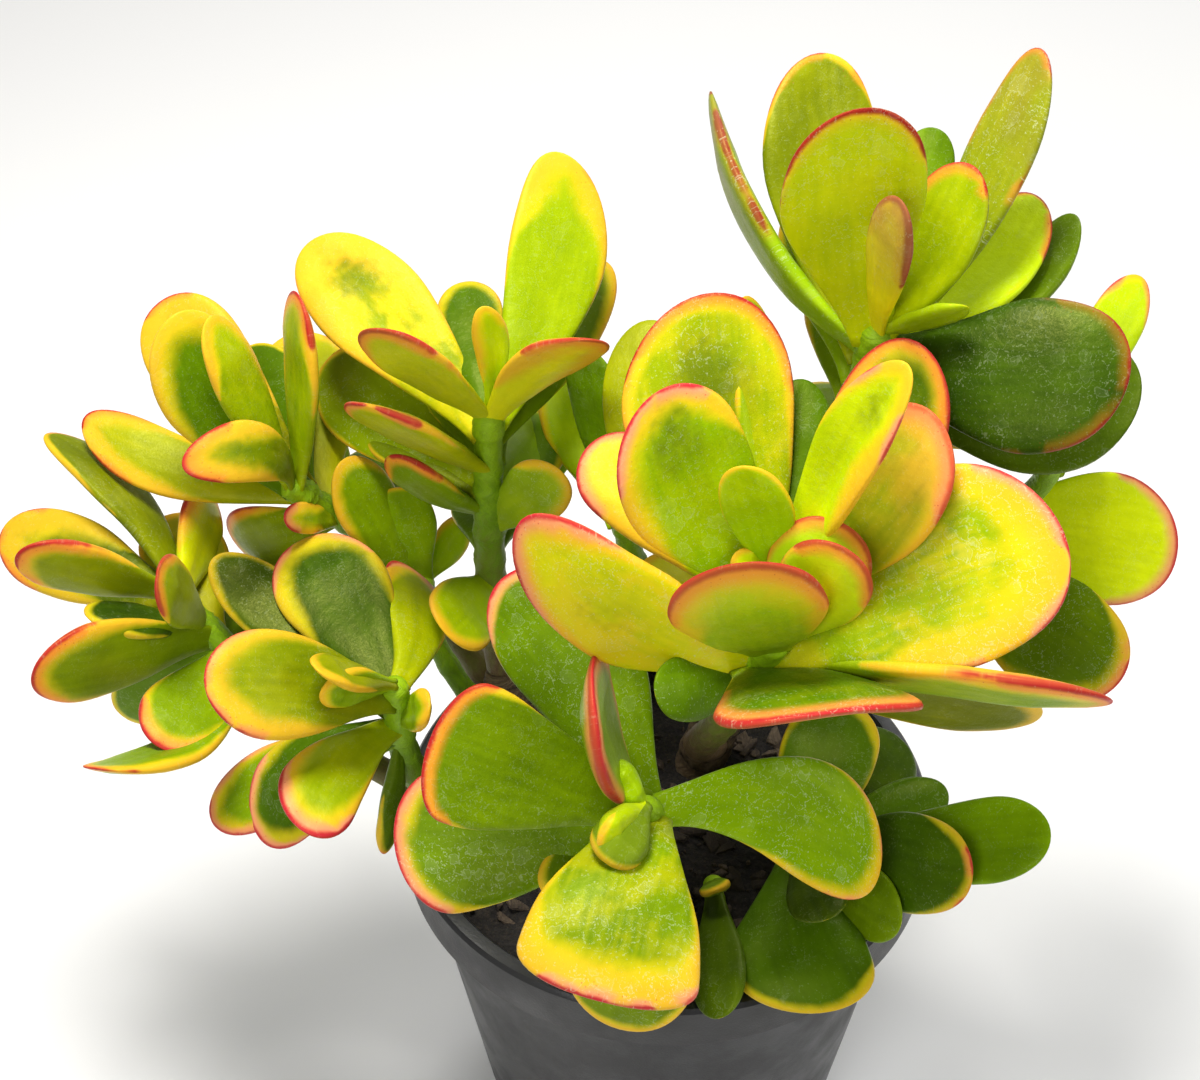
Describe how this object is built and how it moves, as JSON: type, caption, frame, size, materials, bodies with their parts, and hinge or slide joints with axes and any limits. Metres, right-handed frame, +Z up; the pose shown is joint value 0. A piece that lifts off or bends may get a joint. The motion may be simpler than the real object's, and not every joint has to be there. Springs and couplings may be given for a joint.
{
  "type": "potted jade plant",
  "caption": "Many-headed jade plant with thick oval succulent leaves, yellow-green with red rims, growing from short woody trunks in a round tapered pot of soil.",
  "frame": {"origin": "centre of the pot's flat underside, on the ground", "axes": "+Z up; the reference picture looks along +Y and down; +X is to its right"},
  "size_m": [0.2975, 0.2164, 0.3153],
  "materials": {
    "pot_plastic": "satin",
    "potting_soil": "matte",
    "woody_stem": "matte",
    "succulent_leaf": "gloss"
  },
  "bodies": {
    "root": {"pot": "pot_plastic", "soil": "potting_soil", "trunk_right": "woody_stem", "trunk_front": "woody_stem", "trunk_left": "woody_stem", "trunk_side": "woody_stem", "trunk_back": "woody_stem", "shoot_top_right": "succulent_leaf", "shoot_right_back": "succulent_leaf", "shoot_middle_right": "succulent_leaf", "shoot_front": "succulent_leaf", "shoot_left_tall": "succulent_leaf", "shoot_centre_back": "succulent_leaf", "shoot_back": "succulent_leaf", "shoot_left_back": "succulent_leaf", "shoot_far_left": "succulent_leaf", "shoot_lower_left": "succulent_leaf", "shoot_inner_left": "succulent_leaf", "shoot_low_right": "succulent_leaf", "shoot_low_front": "succulent_leaf"}
  },
  "joints": []
}
